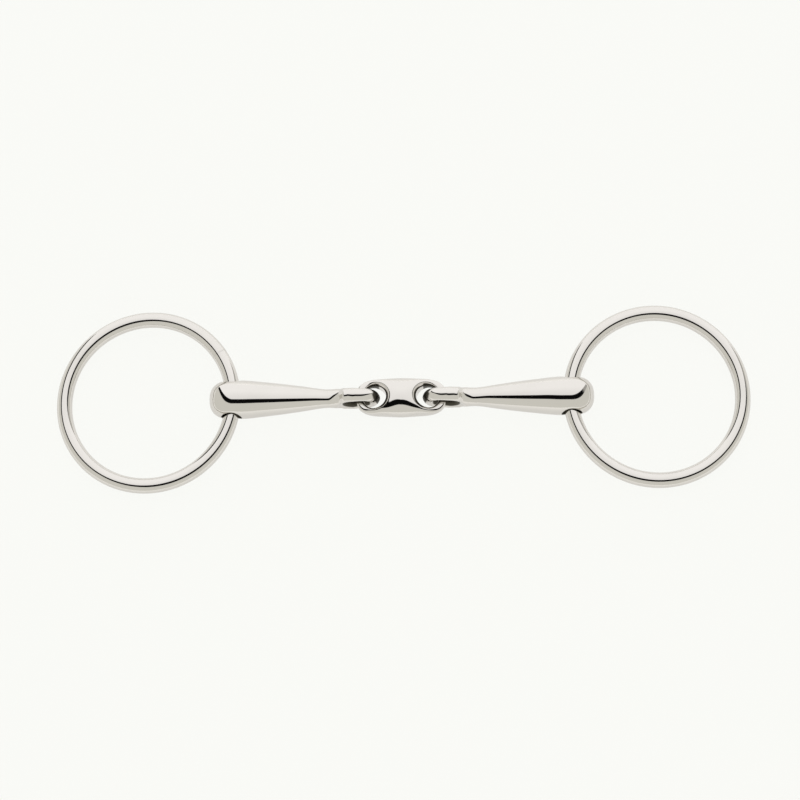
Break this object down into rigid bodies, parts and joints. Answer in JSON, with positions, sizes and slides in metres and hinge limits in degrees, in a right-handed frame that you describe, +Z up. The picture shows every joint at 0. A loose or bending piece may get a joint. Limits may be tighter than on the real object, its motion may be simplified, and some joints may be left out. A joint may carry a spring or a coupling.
{
  "type": "loose ring snaffle bit",
  "caption": "Polished steel loose-ring snaffle bit: tapered mouthpiece arms hinged to a short rounded lozenge link, with a round wire ring running through the outer end of each arm.",
  "frame": {"origin": "under the middle of the centre link, on the surface that the bit lies on", "axes": "+X along the mouthpiece towards the right arm and ring, +Y across the mouthpiece in the plane that the bit lies in, +Z up"},
  "size_m": [0.2914, 0.0784, 0.0165],
  "materials": {
    "link_steel": "mirror-polished stainless steel",
    "mouthpiece_steel": "mirror-polished stainless steel, duller in the ring holes and the loops",
    "ring_steel": "polished stainless steel wire with a dressed butt weld"
  },
  "bodies": {
    "link": {"centre_link": "link_steel"},
    "left_arm": {"left_mouthpiece_arm": "mouthpiece_steel"},
    "right_arm": {"right_mouthpiece_arm": "mouthpiece_steel"},
    "left_loose_ring": {"left_ring": "ring_steel"},
    "right_loose_ring": {"right_ring": "ring_steel"}
  },
  "joints": [
    {"name": "left_arm_fold", "type": "hinge", "parent": "link", "child": "left_arm", "pos_m": [-0.01678, 0, 0.00825], "axis": [0, 1, 0], "range_deg": [-40, 40]},
    {"name": "right_arm_fold", "type": "hinge", "parent": "link", "child": "right_arm", "pos_m": [0.01678, 0, 0.00825], "axis": [0, 1, 0], "range_deg": [-40, 40]},
    {"name": "left_ring_swing", "type": "hinge", "parent": "left_arm", "child": "left_loose_ring", "pos_m": [-0.07107, 0, 0.00825], "axis": [0, 1, 0], "range_deg": [-90, 90]},
    {"name": "right_ring_swing", "type": "hinge", "parent": "right_arm", "child": "right_loose_ring", "pos_m": [0.07107, 0, 0.00825], "axis": [0, 1, 0], "range_deg": [-90, 90]}
  ]
}
